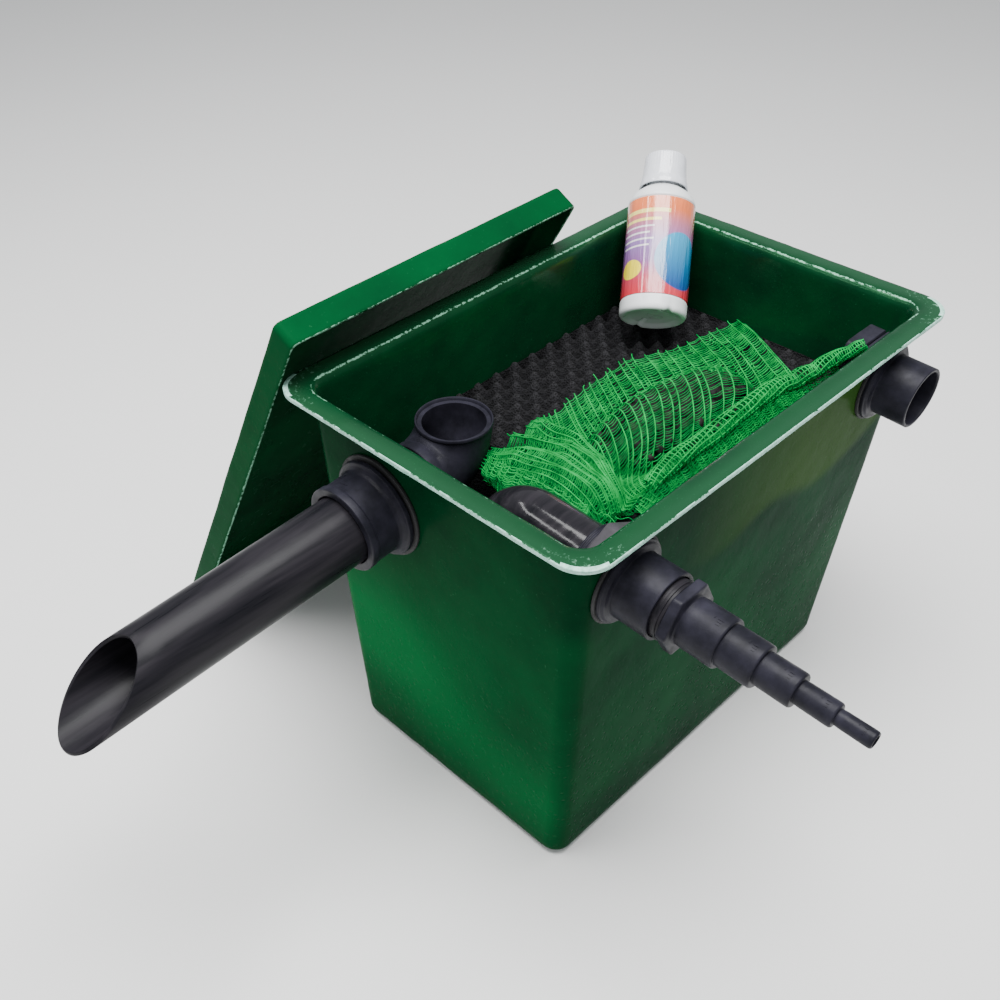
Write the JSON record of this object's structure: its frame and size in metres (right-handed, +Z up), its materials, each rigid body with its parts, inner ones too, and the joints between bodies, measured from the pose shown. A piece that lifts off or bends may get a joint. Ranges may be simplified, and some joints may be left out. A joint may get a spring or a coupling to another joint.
{
  "type": "gravity-fed pond filter box",
  "caption": "Tapered green fibreglass pond filter box with stepped hose inlet, spout, overflow elbow, foam blocks, netted media, lift-off lid and a bottle of filter starter.",
  "frame": {"origin": "centre of the tub's flat underside", "axes": "+Z up; +X along the tub's long side, away from the wall with the spout; the lid leans on the +Y side, and the inlet and second outlet are on the -Y side"},
  "size_m": [0.7892, 0.7645, 0.4659],
  "materials": {
    "green_fibreglass": "gloss gelcoat, satin outside",
    "black_fitting": "satin moulded",
    "black_pipe": "smooth, low gloss",
    "black_rubber": "matt",
    "black_grid": "matt",
    "black_foam": "open-cell foam",
    "green_net": "knitted polyethylene net",
    "dark_media": "loose biological media",
    "white_plastic": "gloss",
    "milky_plastic": "milky gloss",
    "label_film": "printed label under clear film"
  },
  "bodies": {
    "tub": {"filter_tub": "green_fibreglass", "spout_tank_connector": "black_fitting", "spout_gasket": "black_rubber", "spout_backnut": "black_fitting", "overflow_pipe": "black_pipe", "inlet_tank_connector": "black_fitting", "inlet_gasket": "black_rubber", "inlet_backnut": "black_fitting", "inlet_bush": "black_pipe", "inlet_bend": "black_pipe", "drop_coupler": "black_pipe", "inlet_drop_pipe": "black_pipe", "second_outlet_connector": "black_fitting", "second_outlet_gasket": "black_rubber", "second_outlet_locknut": "black_fitting", "second_outlet_backnut": "black_fitting", "media_grid": "black_grid"},
    "lid": {"filter_lid": "green_fibreglass"},
    "spout": {"spout_pipe": "black_pipe"},
    "elbow": {"overflow_elbow": "black_fitting"},
    "hosetail": {"stepped_hosetail": "black_fitting"},
    "lower_foam": {"foam_bottom": "black_foam"},
    "middle_foam": {"foam_middle": "black_foam"},
    "upper_foam": {"foam_top": "black_foam"},
    "bag": {"media_bag": "green_net", "bag_media": "dark_media"},
    "bottle": {"bottle_body": "white_plastic", "bottle_label": "label_film"},
    "screw_cap": {"bottle_screw_cap": "white_plastic"},
    "measuring_cap": {"bottle_measuring_cap": "milky_plastic"}
  },
  "joints": [
    {"name": "lid_lift", "type": "slide", "parent": "tub", "child": "lid", "axis": [0, 0, 1], "range_m": [0, 0.45]},
    {"name": "spout_turn", "type": "hinge", "parent": "tub", "child": "spout", "pos_m": [-0.22954, 0.0646, 0.321], "axis": [-0.9982, 0, -0.0593], "continuous": true},
    {"name": "elbow_swivel", "type": "hinge", "parent": "tub", "child": "elbow", "pos_m": [-0.144, 0.0646, 0.32608], "axis": [-0.9982, 0, -0.0593], "range_deg": [0, 75]},
    {"name": "hosetail_turn", "type": "hinge", "parent": "tub", "child": "hosetail", "pos_m": [-0.18, -0.14902, 0.3434], "axis": [0, -0.999, -0.0437], "continuous": true},
    {"name": "lower_foam_lift", "type": "slide", "parent": "tub", "child": "lower_foam", "axis": [0, 0, 1], "range_m": [0, 0.12]},
    {"name": "middle_foam_lift", "type": "slide", "parent": "lower_foam", "child": "middle_foam", "axis": [0, 0, 1], "range_m": [0, 0.12]},
    {"name": "upper_foam_lift", "type": "slide", "parent": "middle_foam", "child": "upper_foam", "axis": [0, 0, 1], "range_m": [0, 0.12]},
    {"name": "bag_lift", "type": "slide", "parent": "upper_foam", "child": "bag", "axis": [0, 0, 1], "range_m": [0, 0.15]},
    {"name": "bottle_lift", "type": "slide", "parent": "upper_foam", "child": "bottle", "axis": [0, 0, 1], "range_m": [0, 0.2]},
    {"name": "measuring_cap_pull", "type": "slide", "parent": "bottle", "child": "measuring_cap", "axis": [0.5928, 0.4403, 0.6743], "range_m": [0, 0.05]},
    {"name": "screw_cap_turn", "type": "hinge", "parent": "bottle", "child": "screw_cap", "pos_m": [0.22018, 0.13356, 0.43603], "axis": [0.5928, 0.4403, 0.6743], "continuous": true}
  ]
}
